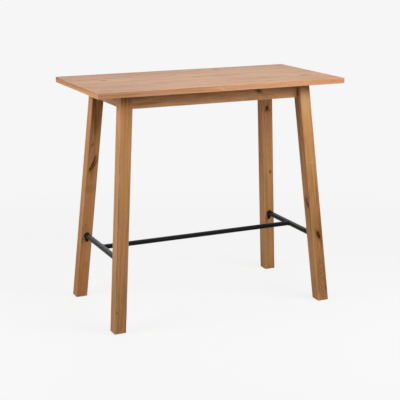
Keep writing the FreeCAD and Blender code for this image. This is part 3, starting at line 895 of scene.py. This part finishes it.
# Footrest: satin black powder coat with fine orange peel. Along the top of each tube it is painted lighter, a
# painted highlight from the lamps above, with rubbed grey streaks of wear in it; near the legs the painted
# highlight fades out, a painted shade where the legs shade the tubes. The step of the top band has heights
# above the tube's middle in radii, and the step of the fade distances from the table's middle in half side
# tubes.
blackCoat = {"colour": (0.013, 0.013, 0.014), "paintedHighlight": (0.036, 0.036, 0.037),
             "rubbedAndHighlit": (0.11, 0.102, 0.095), "rubbedShare": 0.35, "rubbedRough": 0.25,
             "roughness": 0.27, "cloudRough": 0.16, "gloss": 0.05, "peel": 0.00006, "bump": 0.5,
             "highlightStep": (0.56, 0.96), "legShadeStep": (0.9, 0.66), "streakStep": (0.56, 0.72),
             "streaks": ((35.0, 60.0, 60.0), 4.0, 0.6), "clouds": ((8.0, 8.0, 8.0), 3.0),
             "peels": ((800.0, 800.0, 800.0), 2.0)}
# the side tubes: a lit copy of the coat, lighter with a stronger painted highlight, as they take more light
# from the left
sideLitCoat = dict(blackCoat, colour=(0.014, 0.014, 0.014), paintedHighlight=(0.112, 0.112, 0.113))


def blackFinish(name, coat):
    finish = Finish(bpy.data.materials.new(name))
    place = finish.place()
    middle, reach = middleOf(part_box("footrest_long_tube"))
    height = (place.parts()[2] - float(middle[2])) / float(reach[2])
    reachOut = place.parts()[1].maths("ABSOLUTE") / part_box("footrest_side_tube_left")[1][1]
    # painted highlight on the top of the tubes, fading out near the legs as painted shade
    top = height.step(*coat["highlightStep"]) * reachOut.step(*coat["legShadeStep"])
    streaks = finish.noise(place, *coat["streaks"]).step(*coat["streakStep"])
    cloud = finish.noise(place, *coat["clouds"]) - 0.5
    peel = finish.noise(place, *coat["peels"])
    wearAndHighlight = top * streaks * coat["rubbedShare"]
    colour = finish.mix(top, coat["colour"], coat["paintedHighlight"])
    colour = finish.mix(wearAndHighlight, colour, coat["rubbedAndHighlit"])
    rough = cloud * coat["cloudRough"] + coat["roughness"] + wearAndHighlight * coat["rubbedRough"]
    return finish.surface(colour, rough, (peel, coat["peel"], coat["bump"]),
                          {"IOR": 1.5, "Specular IOR Level": coat["gloss"]})


# Hardware: bright zinc plate with a faint yellow and blue bloom and drawing marks
zinc = {"grey": (0.6, 0.61, 0.62), "bloom": (0.56, 0.53, 0.44), "bloomShare": 0.5, "roughness": 0.3,
        "blooms": ((60.0, 60.0, 60.0), 3.0), "bloomStep": (0.4, 0.68), "bloomRough": 0.14,
        "marks": ((900.0, 900.0, 120.0), 2.0), "markRough": 0.12, "markDepth": 0.00002, "bump": 0.5}


def zincFinish():
    finish = Finish(bpy.data.materials.new("zinc plate"))
    bloom = finish.noise(finish.place(), *zinc["blooms"]).step(*zinc["bloomStep"])
    marks = finish.noise(finish.place(), *zinc["marks"])
    colour = finish.mix(bloom * zinc["bloomShare"], zinc["grey"], zinc["bloom"])
    rough = bloom * zinc["bloomRough"] + marks * zinc["markRough"] + zinc["roughness"]
    return finish.surface(colour, rough, (marks, zinc["markDepth"], zinc["bump"]), {"Metallic": 1.0})


# Glides: brown moulded nylon with turned rings round each foot's middle, scuffed by the floor
nylon = {"colour": (0.06, 0.036, 0.022), "scuffed": (0.12, 0.08, 0.055), "scuffShare": 0.5,
         "roughness": 0.42, "scuffRough": 0.2, "scuffs": ((160.0, 420.0, 300.0), 3.0),
         "scuffStep": (0.52, 0.7), "ringPitch": 0.0016, "ringDepth": 0.00008, "bump": 0.6}


def nylonFinish():
    finish = Finish(bpy.data.materials.new("brown nylon"))
    middle = middleOf(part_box("foot_glide_back_right"))[0]
    x, y = finish.place().parts()[:2]
    across, through = x.maths("ABSOLUTE") - float(middle[0]), y.maths("ABSOLUTE") - float(middle[1])
    radius = finish.vector(across, through, 0.0).length()
    rings = (radius * (math.tau / nylon["ringPitch"])).maths("SINE")
    scuffs = finish.noise(finish.place(), *nylon["scuffs"]).step(*nylon["scuffStep"])
    colour = finish.mix(scuffs * nylon["scuffShare"], nylon["colour"], nylon["scuffed"])
    rough = scuffs * nylon["scuffRough"] + nylon["roughness"]
    return finish.surface(colour, rough, (rings, nylon["ringDepth"], nylon["bump"]), {})


# Hidden pieces in plain beech: corner blocks with their grain across the corner, and dowels
beech = dict(oak, pale=(0.64, 0.44, 0.275), dark=(0.5, 0.315, 0.18), rosy=(0.6, 0.37, 0.235),
             straw=(0.62, 0.43, 0.25), pore=(0.38, 0.22, 0.12), fleck=(0.52, 0.32, 0.19),
             ringPitch=0.0021, poreShare=0.3, streakShare=1.0, broadShare=0.6, yearShare=0.25,
             wearAndHighlightShare=0.2, roughness=0.62)
blockWood = {"pith": (0.95, 0.34), "turn": (0.0, 0.0, 0.01), "seed": 20.0}
dowelWood = {"pith": (0.1, 0.1), "turn": (0.0, 0.0, 0.0), "seed": 31.0}


# a block's grain runs level across the corner; its arrises lie along other lines, so none are rubbed
def cornerGrain(end, side):
    share, farAway = math.sqrt(0.5), 9.0

    def grainOf(finish):
        x, y, z = finish.place().parts()
        right, back = x * end, y * side
        grain = finish.vector((right - back) * share, z, (right + back) * share)
        return grain, (-farAway,) * 3, (farAway,) * 3
    return grainOf


black = blackFinish("black powder coat", blackCoat)
# the side tubes take the lit copy of the coat, with its painted light
sideLitBlack = blackFinish("black powder coat on the side tubes", sideLitCoat)
zincPlate = zincFinish()
brownNylon = nylonFinish()
outward = {"front": -1.0, "back": 1.0, "left": -1.0, "right": 1.0}
for index, corner in enumerate(legs):
    side, end = [outward[word] for word in corner.split("_")]
    block = dict(blockWood, seed=blockWood["seed"] + index)
    paint("corner_block_" + corner, woodFinish("beech block " + corner, cornerGrain(end, side), beech, block))
    paint("footrest_plate_" + corner, black)
    paint("foot_glide_" + corner, brownNylon)
paint("apron_dowels", woodFinish("beech dowels", levelGrain(lengthwise, "apron_dowels"), beech, dowelWood))
paint("footrest_long_tube", black)
for end in ("left", "right"):
    paint("footrest_side_tube_" + end, sideLitBlack)
for name in ("bolt_washers", "top_brackets"):
    paint(name, zincPlate)

beads = [beadAlong(saddleLine(end)) for end in ("left", "right")]
beads += [beadAlong(plateLine(end, side)) for end in ("left", "right") for side in (-1, 1)]
makePiece("footrest_welds", beads, black)
makePiece("footrest_screw_set", screwsOf("footrest_screws", footrestScrew), black,
          ["footrest_screws"])
for group in ("corner_block", "top_bracket"):
    makePiece(group + "_screw_set", screwsOf(group + "_screws", woodScrew), zincPlate,
              [group + "_screws"])
bolts, nuts = boltsAndNuts()
makePiece("hanger_bolt_set", bolts, zincPlate, ["hanger_bolts"])
makePiece("bolt_nut_set", nuts, zincPlate, ["bolt_nuts"])
print("footrest and hardware finished")


# Camera: at the photograph's place and angle, with the whole table in view
camera = {"place": (-1.9203, -4.1733, 1.6517), "turnRight": 24.734, "lookDown": 14.333,
          "lens": 91.667, "sensor": 36.0}
view = bpy.data.cameras.new("camera")
view.lens = camera["lens"]
view.sensor_width = camera["sensor"]
viewer = added("camera", view)
viewer.location = camera["place"]
viewer.rotation_euler = (math.radians(90.0 - camera["lookDown"]), 0.0, -math.radians(camera["turnRight"]))
bpy.context.scene.camera = viewer

# Softboxes: place, the point they look at, width, height and power in watts. Only those above this
# height are mirrored, so that no low lamp glares along the top.
mirrored = 2.2
lamps = {
    "rightKey": ((1.25, -1.35, 1.9), (0.3, -0.2, 0.9), 1.0, 1.0, 24.0),
    "frontNear": ((0.4, -1.7, 1.7), (0.1, -0.2, 0.9), 1.2, 0.8, 13.5),
    "leftSide": ((-2.0, -0.3, 1.4), (-0.4, 0.0, 0.7), 1.2, 1.2, 19.0),
    "leftFar": ((-3.6, 0.4, 1.2), (0.0, 0.0, 0.5), 1.8, 1.8, 19.5),
    "overhead": ((0.1, 0.0, 2.6), (0.0, 0.0, 0.0), 2.0, 1.2, 7.0),
    "overBack": ((0.3, 1.6, 2.6), (0.0, 0.0, 0.6), 2.0, 1.2, 12.0),
    "back": ((1.2, 2.8, 0.9), (0.2, 0.2, 0.6), 1.6, 1.2, 12.0),
}
for name, (place, target, width, height, power) in lamps.items():
    light = bpy.data.lights.new(name, "AREA")
    light.shape = "RECTANGLE"
    light.size = width
    light.size_y = height
    light.energy = power
    lamp = added(name, light)
    lamp.location = place
    lamp.rotation_euler = (Vector(target) - Vector(place)).to_track_quat("-Z", "Y").to_euler()
    lamp.visible_camera = False
    lamp.visible_glossy = place[2] > mirrored

# World and floor: both show the same pale grey, and the floor keeps part of the table's shadow
backdrop = {"colour": (0.922, 0.922, 0.922), "light": (1.0, 1.0, 1.0), "ambient": 0.1, "floorSize": 40.0,
            "shadowLeast": 0.86, "shadowReach": (1.0, 2.6), "nearGlow": 0.028,
            "shownFloor": (0.95, 0.95, 0.95), "bouncingFloor": (0.45, 0.45, 0.45)}


def makeWorld():
    finish = Finish(bpy.data.worlds.new("studio"))
    ambient = {"Color": backdrop["light"], "Strength": backdrop["ambient"]}
    light = finish.node("ShaderNodeBackground", {}, ambient)
    plain = finish.node("ShaderNodeBackground", {}, {"Color": backdrop["colour"]})
    both = finish.node("ShaderNodeMixShader", {}, {0: finish.shown(), 1: light, 2: plain})
    finish.node("ShaderNodeOutputWorld", {}, {"Surface": both})
    bpy.context.scene.world = finish.owner


# seen from below the floor is clear, so that the underside can be looked at
def makeFloor():
    reach = backdrop["floorSize"] / 2
    mesh = bpy.data.meshes.new("floor")
    mesh.from_pydata([(-reach, -reach, 0), (reach, -reach, 0), (reach, reach, 0), (-reach, reach, 0)], [],
                     [(0, 1, 2, 3)])
    floor = added("floor", mesh)
    finish = Finish(bpy.data.materials.new("pale floor"))
    shown = finish.shown()
    far = finish.place().length().step(*backdrop["shadowReach"])
    glow = (1.0 - far) * backdrop["nearGlow"] + 1.0
    plain = finish.node("ShaderNodeEmission", {}, {"Color": backdrop["colour"], "Strength": glow})
    albedo = finish.mix(shown, backdrop["bouncingFloor"], backdrop["shownFloor"])
    lit = finish.node("ShaderNodeBsdfDiffuse", {}, {"Color": albedo})
    share = shown * far.atLeast(backdrop["shadowLeast"])
    both = finish.node("ShaderNodeMixShader", {}, {0: share, 1: lit, 2: plain})
    below = finish.node("ShaderNodeNewGeometry", {}, {}).output("Backfacing")
    clear = finish.node("ShaderNodeBsdfTransparent", {}, {})
    shader = finish.node("ShaderNodeMixShader", {}, {0: below, 1: both, 2: clear})
    finish.node("ShaderNodeOutputMaterial", {}, {"Surface": shader})
    mesh.materials.append(finish.owner)


makeWorld()
makeFloor()
bpy.context.scene.view_settings.view_transform = "Standard"
print("camera, lamps and floor made")
